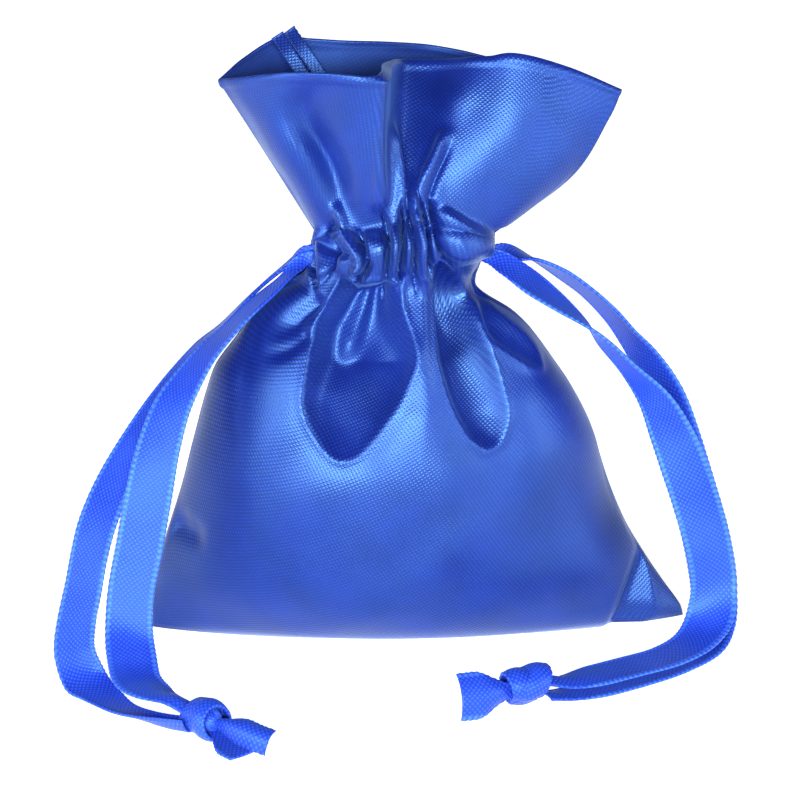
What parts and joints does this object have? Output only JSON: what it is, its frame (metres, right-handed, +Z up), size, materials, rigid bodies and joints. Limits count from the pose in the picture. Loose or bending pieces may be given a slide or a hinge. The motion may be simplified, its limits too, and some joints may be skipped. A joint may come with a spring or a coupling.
{
  "type": "drawstring pouch",
  "caption": "Small satin pouch with a gathered casing, a flared ruffle above it and ribbon drawstrings with knotted ends; holds small things and draws shut.",
  "frame": {"origin": "middle of the pouch's base, on the surface it stands on", "axes": "+X to the pouch's right as seen from the front, +Y from front to back, +Z up"},
  "size_m": [0.0935, 0.0651, 0.0816],
  "materials": {
    "satin": "royal blue satin",
    "ribbon": "royal blue satin ribbon"
  },
  "bodies": {
    "root": {"front_panel": "satin", "back_panel": "satin", "casing_facing": "satin", "ribbon_left_run": "ribbon", "ribbon_right_run": "ribbon", "ribbon_left_front": "ribbon", "ribbon_left_back": "ribbon", "ribbon_right_front": "ribbon", "ribbon_right_back": "ribbon", "knot_left": "ribbon", "knot_right": "ribbon", "tail_left_upper": "ribbon", "tail_left_lower": "ribbon", "tail_right_front": "ribbon", "tail_right_back": "ribbon"}
  },
  "joints": []
}
